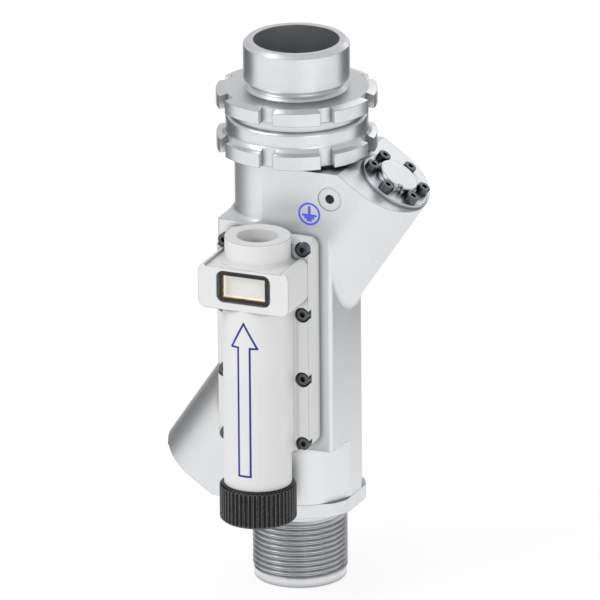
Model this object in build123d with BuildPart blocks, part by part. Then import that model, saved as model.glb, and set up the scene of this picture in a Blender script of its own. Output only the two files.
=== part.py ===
from build123d import *
import os
from math import cos, pi, radians, sin, tan

os.makedirs("parts", exist_ok=True)

# Ultrasonic in-line flow sensor, in millimetres.
# The pipe axis is Z, the inlet face is at z = 0 and the display faces -Y.

# Inlet nipple, M52 x 3
thread_radius = 26.0
lead_in_radius = 25.4
lead_in_length = 5.1
thread_length = 32.9
relief_radius = 24.2
relief_length = 5.3
hex_across_flats = 66.8
hex_corner_radius = 36.15
hex_thickness = 8.1
flow_bore_radius = 20.0
nipple_edge = 1.0

# Screwed joints between the body and its two end pieces
joint_radius = 27.0
joint_depth = 20.0
thread_gap = 0.05
thread_lead = 0.6

# Flow body
body_height = 194.6
barrel_radius = 34.1
block_half_width = 33.4
shoulder_offset = 63.3
shoulder_fillet = 3.5
corner_fillet = 2.0

# Sensor bosses, on one slanting acoustic axis
path_angle = 34.0
boss_top_x = 37.5
boss_length = 44.0
boss_straight = 15.4
boss_blend = 8.0
transducer_offset = 23.1
pocket_radius = 12.0
pocket_depth = 41.6
channel_radius = 7.5

# Transducers and their covers
transducer_radius = 11.8
cover_plug_length = 5.6
nose_radius = 7.3
nose_length = 13.0
cover_radius = 20.2
cover_thickness = 2.2
plateau_radius = 12.6
plateau_height = 2.2
plateau_relief = 5.0
cover_screw_pitch_radius = 16.0
cover_screw_count = 6
first_screw_angle = 30
cover_plug_gap = 0.1
cover_seal_section = 2.0
cover_edge = 0.5
plateau_edge = 0.6
plateau_corner = 0.8
lead_radius = 1.5
lead_channel_radius = 2.5
lead_depth = 21.0
lead_target_x = 12.0
lead_target_rise = 43.0
key_slot_width = 2.6
key_slot_length = 4.0
key_slot_angle = -60

# M4 socket head screws
screw_radius = 2.0
head_radius = 3.5
head_height = 4.0
socket_across_flats = 3.0
socket_depth = 2.0
head_fillet = 0.4
clearance_hole_radius = 2.25
cover_screw_length = 10.0
housing_screw_length = 20.0

# Outlet neck with the lower slotted collar
neck_flange_radius = 33.0
neck_flange_height = 2.1
lower_collar_radius = 43.8
lower_collar_height = 7.7
neck_shoulder_height = 3.2
neck_radius = 38.9
neck_height = 8.4
slot_width = 8.0
slot_floor_radius = 39.2
slot_count = 8
collar_fillet = 2.0
collar_slope = 0.8
neck_foot_fillet = 1.5

# Outlet spigot with the upper slotted collar
waist_radius = 36.4
waist_height = 5.8
upper_collar_radius = 44.0
upper_collar_height = 7.3
crown_radius = 39.2
crown_height = 1.1
undercut_radius = 25.4
undercut_lip_radius = 27.8
undercut_height = 5.2
undercut_fillet = 2.0
spigot_radius = 29.1
spigot_height = 21.9
spigot_chamfer = 2.1
spigot_edge = 0.8
outlet_bore_radius = 23.5
spigot_joint_radius = 30.0
spigot_joint_length = 12.0

# Earth point, M6
earth_x = 32.8
earth_drop = 14.6
earth_hole_radius = 2.55
earth_hole_depth = 12.0
spot_face_radius = 6.7
spot_face_depth = 0.4

# Electronics housing, its levels measured from the foot of its plate or of its head box
plate_drop = 57.9
plate_half_width = 26.6
plate_height = 118.5
plate_thickness = 16.4
plate_corner = 5.0
tube_radius = 18.5
tube_y = -58.4
web_fillet = 1.5
head_half_width = 26.5
head_rise = 86.0
head_box_height = 25.5
head_corner = 4.5
rib_width = 4.0
rib_height = 1.5
port_ring_radius = 18.1
port_ring_y = -56.0
port_ring_rise = 11.9
port_radius = 11.0
port_depth = 8.2
port_chamfer = 0.5
port_fillet = 2.5
housing_screw_x = 23.0
housing_screw_pitch = 37.3
housing_screw_rise = 3.6
housing_screw_rows = 4
screw_hole_spare = 0.9
head_pocket_radius = 4.2
head_pocket_depth = 4.5

# Housing inside
cavity_half_width = 16.0
cavity_rise = 7.2
cavity_height = 102.0
cavity_depth = 9.4
cavity_corner = 3.0
seal_margin = 1.2
housing_seal_width = 2.0
housing_seal_depth = 1.6
head_cavity_half_width = 17.0
head_cavity_rise = 3.2
head_cavity_height = 19.0
battery_bore_radius = 13.6
battery_bore_margin = 7.8

# Display
display_rise = 13.2
window_width = 31.4
window_height = 18.0
window_corner = 4.0
window_recess = 2.2
window_glass = 1.5
window_gap = 0.15
aperture_width = 24.8
aperture_height = 12.7
frame_wall = 0.6
aperture_depth = 2.2
panel_width = 27.8
panel_height = 15.2
panel_thickness = 2.2
display_board_thickness = 1.2

# End cap and battery
cap_radius = 21.0
cap_drop = 38.5
cap_height = 20.8
cap_floor = 4.0
cap_chamfer = 1.3
knurl_count = 50
knurl_groove_radius = 0.95
knurl_depth = 0.6
tube_thread_radius = 17.5
tube_thread_gap = 0.3
thread_engagement = 8.0
cap_pocket_radius = 14.2
cap_seat_gap = 0.2
cell_radius = 13.0
cell_length = 50.0
spring_height = 8.0
spring_wire_radius = 0.5
spring_radius = 6.0
spring_coils = 3
contact_gap = 0.05
nub_height = 1.5
nub_radius = 3.0
contact_radius = 12.0
contact_thickness = 1.0
tube_end_gap = 1.0
cap_seal_section = 1.6
cap_seal_drop = 2.0

# Circuit board and connector
board_setback = 5.0
board_thickness = 1.6
board_rise = 4.0
board_width = 29.0
board_height = 88.0
board_screw_x = 12.0
board_screw_pitch = 50.0
board_screw_radius = 1.0
board_screw_length = 3.6
board_screw_head = 1.2
board_post_radius = 2.4
board_gap = 0.5
chip_pitch = 24.0
chip_width = 10.0
chip_height = 1.4
ribbon_drop = 6.0
ribbon_width = 10.0
ribbon_thickness = 0.4
connector_radius = 10.0
connector_height = 3.0
connector_tail_radius = 7.9
insert_radius = 6.5
insert_height = 4.6
pin_count = 5
pin_pitch_radius = 4.0
pin_radius = 0.6
pin_tail = 1.5
pin_length = 8.0

# Seals
seal_section = 2.5

# Levels and planes worked out from the sizes above
body_bottom = lead_in_length + thread_length + relief_length + hex_thickness
hex_bottom = body_bottom - hex_thickness
body_top = body_bottom + body_height
body_centre = body_bottom + body_height / 2
collar_bottom = body_top + neck_flange_height
collar_top = collar_bottom + lower_collar_height
neck_start = collar_top + neck_shoulder_height
neck_top = neck_start + neck_height
upper_collar_bottom = neck_top + waist_height
upper_collar_top = upper_collar_bottom + upper_collar_height
crown_top = upper_collar_top + crown_height
spigot_bottom = crown_top + undercut_height
spigot_top = spigot_bottom + spigot_height

plate_bottom = body_centre - plate_drop
plate_top = plate_bottom + plate_height
head_bottom = plate_bottom + head_rise
head_top = head_bottom + head_box_height
port_ring_top = head_top + port_ring_rise
cavity_bottom = plate_bottom + cavity_rise
cavity_top = cavity_bottom + cavity_height
head_cavity_bottom = head_bottom + head_cavity_rise
head_cavity_top = head_cavity_bottom + head_cavity_height
battery_bore_top = head_bottom - battery_bore_margin
display_level = head_bottom + display_rise
board_middle = cavity_bottom + board_rise + board_height / 2
ribbon_level = board_middle + board_height / 2 - ribbon_drop
cap_bottom = plate_bottom - cap_drop
cap_top = cap_bottom + cap_height
tube_end = cap_top - thread_engagement
earth_z = body_top - earth_drop
plate_front = block_half_width + plate_thickness
tube_front = -tube_y + tube_radius
seat_front = plate_front - head_pocket_depth
transducer_length = pocket_depth - cover_plug_length

screw_levels = [
    plate_bottom + housing_screw_rise + row * housing_screw_pitch for row in range(housing_screw_rows)
]

path_x = sin(radians(path_angle))
path_z = cos(radians(path_angle))
turn_axis = Axis((0, 0, body_centre), (0, 1, 0))

boss_edge = Vector(boss_top_x, 0, body_top)
down_face = Vector(path_z, 0, -path_x)
face_centre = boss_edge + down_face * transducer_offset
upper_face = Plane(origin=face_centre, x_dir=down_face, z_dir=(path_x, 0, path_z))
lower_face = Plane(
    origin=(-face_centre.X, 0, 2 * body_centre - face_centre.Z),
    x_dir=down_face * -1,
    z_dir=(-path_x, 0, -path_z),
)
sensor_faces = (("upper", upper_face), ("lower", lower_face))

lead_start = face_centre - upper_face.z_dir * lead_depth
lead_end = Vector(lead_target_x, -block_half_width, body_centre + lead_target_rise)
lead_length = (lead_end - lead_start).length
upper_lead = Plane(origin=lead_start, z_dir=lead_end - lead_start)
lower_lead = Plane(
    origin=(-lead_start.X, 0, 2 * body_centre - lead_start.Z),
    z_dir=(lead_start.X - lead_end.X, lead_end.Y, lead_start.Z - lead_end.Z),
)


def save(builder, name):
    """Label one finished piece and write it to its own file."""
    builder.part.label = name
    export_step(builder.part, f"parts/{name}.step")


def rim(builder, level, radius):
    """The round edges about a vertical axis at one level and radius."""
    circles = builder.edges().filter_by(GeomType.CIRCLE)
    return circles.filter_by(
        lambda edge: abs(edge.arc_center.Z - level) < 0.01 and abs(edge.radius - radius) < 0.01
    )


# Flow body: first the boss, then the turned barrel with its square middle
with BuildPart() as sensor_boss:
    boss_tip = boss_edge + down_face * boss_length
    inner_level = boss_tip.Z - boss_tip.X / tan(radians(path_angle))
    with BuildSketch(Plane.XZ):
        with BuildLine():
            Polyline(
                (0, body_top),
                (boss_edge.X, body_top),
                (boss_tip.X, boss_tip.Z),
                (0, inner_level),
                close=True,
            )
        make_face()
    extrude(amount=block_half_width, both=True)
    boss_reach = 2 * body_height
    with BuildSketch(upper_face):
        end_x = boss_straight - transducer_offset
        with Locations((end_x, 0)):
            Ellipse(boss_length - boss_straight, block_half_width)
            Rectangle(boss_reach, 2 * block_half_width, align=(Align.MAX, Align.CENTER))
    extrude(amount=-boss_reach, mode=Mode.INTERSECT)

with BuildPart() as flow_body:
    with BuildSketch(Plane.XY.offset(body_bottom)):
        Circle(barrel_radius)
        Rectangle(2 * block_half_width, 2 * block_half_width, mode=Mode.INTERSECT)
    extrude(amount=body_height)
    with BuildSketch(Plane.XY.offset(body_centre - shoulder_offset)):
        Rectangle(2 * block_half_width, block_half_width, align=(Align.CENTER, Align.MAX))
    extrude(amount=2 * shoulder_offset)
    corners = flow_body.edges().filter_by(Axis.Z).filter_by(
        lambda edge: abs(abs(edge.center().X) - block_half_width) < 0.01
        and abs(abs(edge.center().Y) - block_half_width) < 0.01
    )
    fillet(corners, corner_fillet)
    add(sensor_boss.part)
    add(sensor_boss.part.rotate(turn_axis, 180))
    boss_foot = flow_body.edges().filter_by(GeomType.BSPLINE)
    fillet(boss_foot.filter_by(lambda edge: edge.length > corner_fillet), boss_blend)
    shoulders = rim(flow_body, body_centre - shoulder_offset, barrel_radius)
    shoulders += rim(flow_body, body_centre + shoulder_offset, barrel_radius)
    fillet(shoulders.filter_by(lambda edge: edge.center().Y < 0), shoulder_fillet)

    # Flow passage, screwed joints and the slanting acoustic channel
    with BuildSketch(Plane.XY.offset(body_bottom)):
        Circle(flow_bore_radius)
    extrude(amount=body_height, mode=Mode.SUBTRACT)
    for joint_start in (body_bottom, body_top - joint_depth):
        with BuildSketch(Plane.XY.offset(joint_start)):
            Circle(joint_radius + thread_gap)
        extrude(amount=joint_depth, mode=Mode.SUBTRACT)
    for _, face in sensor_faces:
        with BuildSketch(face):
            Circle(pocket_radius)
        extrude(amount=-pocket_depth, mode=Mode.SUBTRACT)
        with BuildSketch(face.offset(-pocket_depth)):
            Circle(channel_radius)
        extrude(amount=-(boss_reach / 4 - pocket_depth), mode=Mode.SUBTRACT)
        with BuildSketch(face):
            with PolarLocations(
                cover_screw_pitch_radius, cover_screw_count, start_angle=first_screw_angle
            ):
                Circle(screw_radius + thread_gap)
        extrude(amount=-cover_screw_length, mode=Mode.SUBTRACT)

    for lead_plane in (upper_lead, lower_lead):
        with BuildSketch(lead_plane):
            Circle(lead_channel_radius)
        extrude(amount=lead_length + 2 * lead_channel_radius, mode=Mode.SUBTRACT)

    # Housing screw holes, and the earth point with its spot face
    front = Plane.XZ.offset(block_half_width)
    screw_middle = screw_levels[0] + (screw_levels[-1] - screw_levels[0]) / 2
    screw_hole_depth = housing_screw_length - seat_front + block_half_width + screw_hole_spare
    with BuildSketch(front):
        with Locations((0, screw_middle)):
            with GridLocations(2 * housing_screw_x, housing_screw_pitch, 2, housing_screw_rows):
                Circle(screw_radius + thread_gap)
    extrude(amount=-screw_hole_depth, mode=Mode.SUBTRACT)
    with BuildSketch(front):
        with Locations((earth_x, earth_z)):
            Circle(earth_hole_radius)
    extrude(amount=-earth_hole_depth, mode=Mode.SUBTRACT)
    with BuildSketch(front):
        with Locations((earth_x, earth_z)):
            Circle(spot_face_radius)
    extrude(amount=-spot_face_depth, mode=Mode.SUBTRACT)
save(flow_body, "flow_body")


def half_section(points):
    """The face inside (radius, level) points, ready to be turned about the pipe axis."""
    with BuildSketch(Plane.XZ) as section:
        with BuildLine():
            Polyline(*points, close=True)
        make_face()
    return section.sketch


def ring_profile(level, radius, width):
    """A flat ring about the pipe axis at one level."""
    with BuildSketch(Plane.XY.offset(level)) as ring:
        Circle(radius + width / 2)
        Circle(radius - width / 2, mode=Mode.SUBTRACT)
    return ring.sketch


def slot_profiles(level):
    """The open slots for a hook spanner in the rim of a collar, one face each."""
    profiles = []
    for index in range(slot_count):
        with BuildSketch(Plane.XY.offset(level)) as slot:
            with PolarLocations(slot_floor_radius, 1, start_angle=360 * index / slot_count):
                Rectangle(thread_radius, slot_width, align=(Align.MIN, Align.CENTER))
        profiles.append(slot.sketch)
    return profiles


def save_seal_ring(name, level, radius, section):
    """One round seal ring about the pipe axis, its middle at the level."""
    with BuildPart() as ring:
        with BuildSketch(Plane.XZ):
            with Locations((radius, level)):
                Circle(section / 2)
        revolve(axis=Axis.Z)
    save(ring, name)


# Inlet nipple with its hexagon flange
inlet_seal_radius = (joint_radius + hex_across_flats / 2) / 2
with BuildPart() as inlet_nipple:
    nipple_points = [
        (flow_bore_radius, 0),
        (lead_in_radius, 0),
        (lead_in_radius, lead_in_length),
        (thread_radius, lead_in_length + thread_lead),
        (thread_radius, lead_in_length + thread_length - thread_lead),
        (relief_radius, lead_in_length + thread_length),
        (relief_radius, hex_bottom),
        (joint_radius, hex_bottom),
        (joint_radius, body_bottom + joint_depth),
        (flow_bore_radius, body_bottom + joint_depth),
    ]
    revolve(half_section(nipple_points), axis=Axis.Z)
    with BuildSketch(Plane.XY.offset(hex_bottom)):
        RegularPolygon(hex_across_flats / 2, 6, major_radius=False, rotation=30)
        Circle(hex_corner_radius, mode=Mode.INTERSECT)
        Circle(flow_bore_radius, mode=Mode.SUBTRACT)
    extrude(amount=hex_thickness)
    groove = ring_profile(body_bottom - seal_section, inlet_seal_radius, seal_section)
    extrude(groove, amount=seal_section, mode=Mode.SUBTRACT)
    fillet(rim(inlet_nipple, 0, lead_in_radius), nipple_edge)
save(inlet_nipple, "inlet_nipple")
save_seal_ring("inlet_seal_ring", body_bottom - seal_section / 2, inlet_seal_radius, seal_section)

# Outlet neck with the lower slotted collar
neck_seal_radius = (joint_radius + neck_flange_radius) / 2
neck_bore_step = neck_top - spigot_joint_length
with BuildPart() as outlet_neck:
    neck_points = [
        (flow_bore_radius, body_top - joint_depth),
        (joint_radius, body_top - joint_depth),
        (joint_radius, body_top),
        (neck_flange_radius, body_top),
        (neck_flange_radius, collar_bottom),
        (lower_collar_radius, collar_bottom),
        (lower_collar_radius, collar_top),
        (neck_radius + collar_fillet, collar_top + collar_slope),
        (neck_radius, neck_start),
        (neck_radius, neck_top),
        (spigot_joint_radius + thread_gap, neck_top),
        (spigot_joint_radius + thread_gap, neck_bore_step),
        (outlet_bore_radius, neck_bore_step),
    ]
    revolve(half_section(neck_points), axis=Axis.Z)
    foot = rim(outlet_neck, collar_top + collar_slope, neck_radius + collar_fillet)
    fillet(foot + rim(outlet_neck, neck_start, neck_radius), neck_foot_fillet)
    fillet(rim(outlet_neck, neck_top, neck_radius), collar_fillet)
    slot_cut = lower_collar_height + collar_slope + collar_fillet
    for profile in slot_profiles(collar_bottom):
        extrude(profile, amount=slot_cut, mode=Mode.SUBTRACT)
    groove = ring_profile(body_top, neck_seal_radius, seal_section)
    extrude(groove, amount=seal_section, mode=Mode.SUBTRACT)
save(outlet_neck, "outlet_neck")
save_seal_ring("neck_seal_ring", body_top + seal_section / 2, neck_seal_radius, seal_section)

# Outlet spigot with the upper slotted collar
spigot_seal_radius = (spigot_joint_radius + waist_radius) / 2
with BuildPart() as outlet_spigot:
    undercut_middle = crown_top + undercut_height / 2
    spigot_points = [
        (outlet_bore_radius, neck_bore_step),
        (spigot_joint_radius, neck_bore_step),
        (spigot_joint_radius, neck_top),
        (waist_radius, neck_top),
        (waist_radius, upper_collar_bottom),
        (upper_collar_radius, upper_collar_bottom),
        (upper_collar_radius, upper_collar_top),
        (crown_radius, crown_top),
        (undercut_lip_radius, crown_top),
        (undercut_radius, undercut_middle),
        (undercut_radius, spigot_bottom),
        (spigot_radius, spigot_bottom),
        (spigot_radius, spigot_top - spigot_chamfer),
        (spigot_radius - spigot_chamfer, spigot_top),
        (outlet_bore_radius, spigot_top),
    ]
    revolve(half_section(spigot_points), axis=Axis.Z)
    fillet(rim(outlet_spigot, upper_collar_bottom, waist_radius), collar_fillet)
    fillet(rim(outlet_spigot, undercut_middle, undercut_radius), undercut_fillet)
    fillet(rim(outlet_spigot, spigot_bottom, spigot_radius), spigot_edge)
    for profile in slot_profiles(upper_collar_bottom):
        extrude(profile, amount=upper_collar_height + crown_height, mode=Mode.SUBTRACT)
    groove = ring_profile(neck_top, spigot_seal_radius, seal_section)
    extrude(groove, amount=seal_section, mode=Mode.SUBTRACT)
save(outlet_spigot, "outlet_spigot")
save_seal_ring("spigot_seal_ring", neck_top + seal_section / 2, spigot_seal_radius, seal_section)


def save_screws(name, face, places, length):
    """Socket head screws seated on a plane, one separate solid at each place."""
    with BuildPart() as screws:
        with BuildSketch(face):
            with Locations(*places):
                Circle(head_radius)
        extrude(amount=head_height)
        top_faces = screws.faces().filter_by(face).group_by(Axis(face.origin, face.z_dir))[-1]
        fillet(top_faces.edges(), head_fillet)
        with BuildSketch(face.offset(head_height)):
            with Locations(*places):
                RegularPolygon(socket_across_flats / 2, 6, major_radius=False)
        extrude(amount=-socket_depth, mode=Mode.SUBTRACT)
        with BuildSketch(face):
            with Locations(*places):
                Circle(screw_radius)
        extrude(amount=-length)
    save(screws, name)


# Transducers, covers, seals, leads and screws at both ends of the acoustic path
cover_angles = [
    radians(first_screw_angle + 360 * index / cover_screw_count) for index in range(cover_screw_count)
]
cover_screw_places = [
    (cover_screw_pitch_radius * cos(angle), cover_screw_pitch_radius * sin(angle))
    for angle in cover_angles
]
for end_name, face in sensor_faces:
    with BuildPart() as transducer:
        with BuildSketch(face.offset(-pocket_depth)):
            Circle(transducer_radius)
        extrude(amount=transducer_length)
        with BuildSketch(face.offset(-pocket_depth)):
            Circle(nose_radius)
        extrude(amount=-nose_length)
    save(transducer, f"{end_name}_transducer")

    with BuildPart() as transducer_cover:
        with BuildSketch(face):
            Circle(cover_radius)
        extrude(amount=cover_thickness)
        cover_axis = Axis(face.origin, face.z_dir)
        fillet(transducer_cover.faces().sort_by(cover_axis)[-1].edges(), cover_edge)
        with BuildSketch(face.offset(cover_thickness)) as plateau:
            Circle(plateau_radius)
            with Locations(*cover_screw_places):
                Circle(plateau_relief, mode=Mode.SUBTRACT)
            with PolarLocations(plateau_radius, 1, start_angle=key_slot_angle):
                Rectangle(key_slot_length, key_slot_width, mode=Mode.SUBTRACT)
            fillet(plateau.vertices(), plateau_corner)
        extrude(amount=plateau_height)
        fillet(transducer_cover.faces().sort_by(cover_axis)[-1].edges(), plateau_edge)
        with BuildSketch(face):
            Circle(pocket_radius - cover_plug_gap)
        extrude(amount=-cover_plug_length)
        with BuildSketch(face.offset(-cover_plug_length / 2 - cover_seal_section / 2)):
            Circle(pocket_radius)
            Circle(pocket_radius - cover_seal_section, mode=Mode.SUBTRACT)
        extrude(amount=cover_seal_section, mode=Mode.SUBTRACT)
        with BuildSketch(face):
            with Locations(*cover_screw_places):
                Circle(clearance_hole_radius)
        extrude(amount=cover_thickness, mode=Mode.SUBTRACT)
    save(transducer_cover, f"{end_name}_transducer_cover")

    seal_plane = Plane(origin=face.origin, x_dir=face.x_dir, z_dir=face.y_dir)
    with BuildPart() as cover_seal:
        with BuildSketch(seal_plane):
            seal_middle = pocket_radius - cover_seal_section / 2
            with Locations((seal_middle, cover_plug_length / 2)):
                Circle(cover_seal_section / 2)
        revolve(axis=cover_axis)
    save(cover_seal, f"{end_name}_cover_seal")

    save_screws(
        f"{end_name}_cover_screws", face.offset(cover_thickness), cover_screw_places, cover_screw_length
    )

# Leads from the transducers through drilled channels to the circuit board
board_back = block_half_width + board_setback
lead_run = lead_length * board_back / block_half_width + 2 * lead_radius
for end_name, lead_plane, face in (
    ("upper", upper_lead, upper_face),
    ("lower", lower_lead, lower_face),
):
    with BuildPart() as lead:
        with BuildSketch(lead_plane):
            Circle(lead_radius)
        extrude(amount=lead_run)
        with BuildSketch(face):
            Circle(transducer_radius)
        extrude(amount=-pocket_depth, mode=Mode.SUBTRACT)
        split(bisect_by=Plane.XZ.offset(board_back), keep=Keep.BOTTOM)
    save(lead, f"{end_name}_transducer_lead")

# Electronics housing: screwed plate, battery tube, display head and port ring in one casting
screw_places = [(x, z) for x in (-housing_screw_x, housing_screw_x) for z in screw_levels]
plate_middle = (plate_bottom + plate_top) / 2
head_middle = (head_bottom + head_top) / 2
cavity_front = block_half_width + cavity_depth
window_floor = tube_front - window_recess
aperture_floor = window_floor - aperture_depth
port_floor = port_ring_top - port_depth
with BuildPart() as electronics_housing:
    with BuildSketch(Plane.XZ.offset(block_half_width)):
        with Locations((0, plate_middle)):
            RectangleRounded(2 * plate_half_width, plate_top - plate_bottom, plate_corner)
    extrude(amount=plate_thickness)
    with BuildSketch(Plane.XY.offset(plate_bottom)):
        with Locations((0, tube_y)):
            Circle(tube_radius)
            Rectangle(2 * tube_radius, -tube_y - plate_front, align=(Align.CENTER, Align.MIN))
    extrude(amount=head_middle - plate_bottom)
    webs = electronics_housing.edges().filter_by(Axis.Z).filter_by(
        lambda edge: abs(abs(edge.center().X) - tube_radius) < 0.01
        and abs(edge.center().Y + plate_front) < 0.01
    )
    fillet(webs, web_fillet)
    with BuildSketch(Plane.XY.offset(cap_top + cap_seat_gap)):
        with Locations((0, tube_y)):
            Circle(tube_radius)
    extrude(amount=plate_bottom - cap_top - cap_seat_gap)
    with BuildSketch(Plane.XZ.offset(plate_front)):
        with Locations((0, head_middle)):
            RectangleRounded(2 * head_half_width, head_top - head_bottom, head_corner)
    extrude(amount=tube_front - plate_front)
    with BuildSketch(Plane.XY.offset(head_top - rib_height)):
        with Locations((0, -tube_front)):
            Rectangle(
                2 * (head_half_width - rib_width),
                tube_front - plate_front,
                align=(Align.CENTER, Align.MIN),
            )
    extrude(amount=rib_height, mode=Mode.SUBTRACT)
    with BuildSketch(Plane.XY.offset(head_top - rib_height)):
        with Locations((0, port_ring_y)):
            Circle(port_ring_radius)
    extrude(amount=port_ring_top - head_top + rib_height)
    fillet(rim(electronics_housing, head_top - rib_height, port_ring_radius), port_fillet)
    with BuildSketch(Plane.XY.offset(tube_end)):
        with Locations((0, tube_y)):
            Circle(tube_thread_radius)
    extrude(amount=cap_top - tube_end + cap_seat_gap)

    seal_level = cap_top - cap_seal_drop
    with BuildSketch(Plane.XY.offset(seal_level - cap_seal_section / 2)):
        with Locations((0, tube_y)):
            Circle(tube_thread_radius)
            Circle(tube_thread_radius - cap_seal_section, mode=Mode.SUBTRACT)
    extrude(amount=cap_seal_section, mode=Mode.SUBTRACT)

    # Screw pockets and holes
    with BuildSketch(Plane.XZ.offset(seat_front)):
        with Locations(*screw_places):
            Circle(head_pocket_radius)
    extrude(amount=-tube_y + tube_radius - seat_front, mode=Mode.SUBTRACT)
    with BuildSketch(Plane.XZ.offset(block_half_width)):
        with Locations(*screw_places):
            Circle(clearance_hole_radius)
    extrude(amount=plate_thickness, mode=Mode.SUBTRACT)

    # Battery bore, board cavity, display cavity and seal groove
    with BuildSketch(Plane.XY.offset(tube_end)):
        with Locations((0, tube_y)):
            Circle(battery_bore_radius)
    extrude(amount=battery_bore_top - tube_end, mode=Mode.SUBTRACT)
    with BuildSketch(Plane.XZ.offset(block_half_width)):
        with Locations((0, (cavity_bottom + cavity_top) / 2)):
            RectangleRounded(2 * cavity_half_width, cavity_top - cavity_bottom, cavity_corner)
    extrude(amount=cavity_depth, mode=Mode.SUBTRACT)
    with BuildSketch(Plane.XZ.offset(cavity_front)):
        with Locations((0, (head_cavity_bottom + head_cavity_top) / 2)):
            RectangleRounded(
                2 * head_cavity_half_width, head_cavity_top - head_cavity_bottom, cavity_corner
            )
    extrude(amount=aperture_floor - cavity_front, mode=Mode.SUBTRACT)
    with BuildSketch(Plane.XZ.offset(block_half_width)):
        with Locations((0, (cavity_bottom + cavity_top) / 2)):
            RectangleRounded(
                2 * (cavity_half_width + seal_margin + housing_seal_width),
                cavity_top - cavity_bottom + 2 * (seal_margin + housing_seal_width),
                cavity_corner + seal_margin + housing_seal_width,
            )
            RectangleRounded(
                2 * (cavity_half_width + seal_margin),
                cavity_top - cavity_bottom + 2 * seal_margin,
                cavity_corner + seal_margin,
                mode=Mode.SUBTRACT,
            )
    extrude(amount=housing_seal_depth, mode=Mode.SUBTRACT)

    # Board posts
    with BuildSketch(Plane.XZ.offset(board_back + board_thickness)):
        with Locations((0, board_middle)):
            with GridLocations(2 * board_screw_x, board_screw_pitch, 2, 2):
                Circle(board_post_radius)
    extrude(amount=cavity_depth - board_setback - board_thickness)
    with BuildSketch(Plane.XZ.offset(board_back + board_thickness)):
        with Locations((0, board_middle)):
            with GridLocations(2 * board_screw_x, board_screw_pitch, 2, 2):
                Circle(board_screw_radius)
    extrude(amount=board_screw_length - board_thickness, mode=Mode.SUBTRACT)

    # Display window, its aperture, and the port
    with BuildSketch(Plane.XZ.offset(window_floor)):
        with Locations((0, display_level)):
            RectangleRounded(window_width, window_height, window_corner)
    extrude(amount=window_recess, mode=Mode.SUBTRACT)
    with BuildSketch(Plane.XZ.offset(aperture_floor)):
        with Locations((0, display_level)):
            Rectangle(aperture_width + 2 * frame_wall, aperture_height + 2 * frame_wall)
    extrude(amount=aperture_depth, mode=Mode.SUBTRACT)
    with BuildSketch(Plane.XY.offset(port_floor)):
        with Locations((0, port_ring_y)):
            Circle(port_radius)
    extrude(amount=port_depth, mode=Mode.SUBTRACT)
    with BuildSketch(Plane.XY.offset(port_floor - connector_height)):
        with Locations((0, port_ring_y)):
            Circle(connector_radius)
    extrude(amount=connector_height, mode=Mode.SUBTRACT)
    with BuildSketch(Plane.XY.offset(head_cavity_top)):
        with Locations((0, port_ring_y)):
            Circle(connector_tail_radius)
    extrude(amount=port_floor - connector_height - head_cavity_top, mode=Mode.SUBTRACT)
    chamfer(rim(electronics_housing, port_ring_top, port_radius), port_chamfer)
save(electronics_housing, "electronics_housing")

with BuildPart() as housing_seal:
    with BuildSketch(Plane.XZ.offset(block_half_width)):
        with Locations((0, (cavity_bottom + cavity_top) / 2)):
            RectangleRounded(
                2 * (cavity_half_width + seal_margin + housing_seal_width),
                cavity_top - cavity_bottom + 2 * (seal_margin + housing_seal_width),
                cavity_corner + seal_margin + housing_seal_width,
            )
            RectangleRounded(
                2 * (cavity_half_width + seal_margin),
                cavity_top - cavity_bottom + 2 * seal_margin,
                cavity_corner + seal_margin,
                mode=Mode.SUBTRACT,
            )
    extrude(amount=housing_seal_depth)
save(housing_seal, "housing_seal")

save_screws("housing_screws", Plane.XZ.offset(seat_front), screw_places, housing_screw_length)

# Circuit board with its chips, and its screws
with BuildPart() as circuit_board:
    with BuildSketch(Plane.XZ.offset(board_back)):
        with Locations((0, board_middle)):
            Rectangle(board_width, board_height)
            with GridLocations(2 * board_screw_x, board_screw_pitch, 2, 2):
                Circle(board_screw_radius, mode=Mode.SUBTRACT)
    extrude(amount=board_thickness)
    with BuildSketch(Plane.XZ.offset(board_back + board_thickness)):
        with Locations((0, board_middle)):
            with GridLocations(0, chip_pitch, 1, 3):
                Rectangle(chip_width, chip_width)
    extrude(amount=chip_height)
save(circuit_board, "circuit_board")

with BuildPart() as board_screws:
    with BuildSketch(Plane.XZ.offset(board_back)):
        with Locations((0, board_middle)):
            with GridLocations(2 * board_screw_x, board_screw_pitch, 2, 2):
                Circle(board_screw_radius)
    extrude(amount=board_screw_length)
    with BuildSketch(Plane.XZ.offset(board_back)):
        with Locations((0, board_middle)):
            with GridLocations(2 * board_screw_x, board_screw_pitch, 2, 2):
                Circle(2 * board_screw_radius)
    extrude(amount=-board_screw_head)
save(board_screws, "board_screws")

# Display: window glass, amber frame, panel, board and ribbon
with BuildPart() as display_window:
    with BuildSketch(Plane.XZ.offset(window_floor)):
        with Locations((0, display_level)):
            RectangleRounded(
                window_width - 2 * window_gap,
                window_height - 2 * window_gap,
                window_corner - window_gap,
            )
    extrude(amount=window_glass)
save(display_window, "display_window")

with BuildPart() as display_frame:
    with BuildSketch(Plane.XZ.offset(aperture_floor)):
        with Locations((0, display_level)):
            Rectangle(aperture_width + 2 * frame_wall, aperture_height + 2 * frame_wall)
            Rectangle(aperture_width, aperture_height, mode=Mode.SUBTRACT)
    extrude(amount=aperture_depth)
save(display_frame, "display_frame")

panel_back = aperture_floor - panel_thickness
with BuildPart() as display_panel:
    with BuildSketch(Plane.XZ.offset(panel_back)):
        with Locations((0, display_level)):
            Rectangle(panel_width, panel_height)
    extrude(amount=panel_thickness)
save(display_panel, "display_panel")

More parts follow.
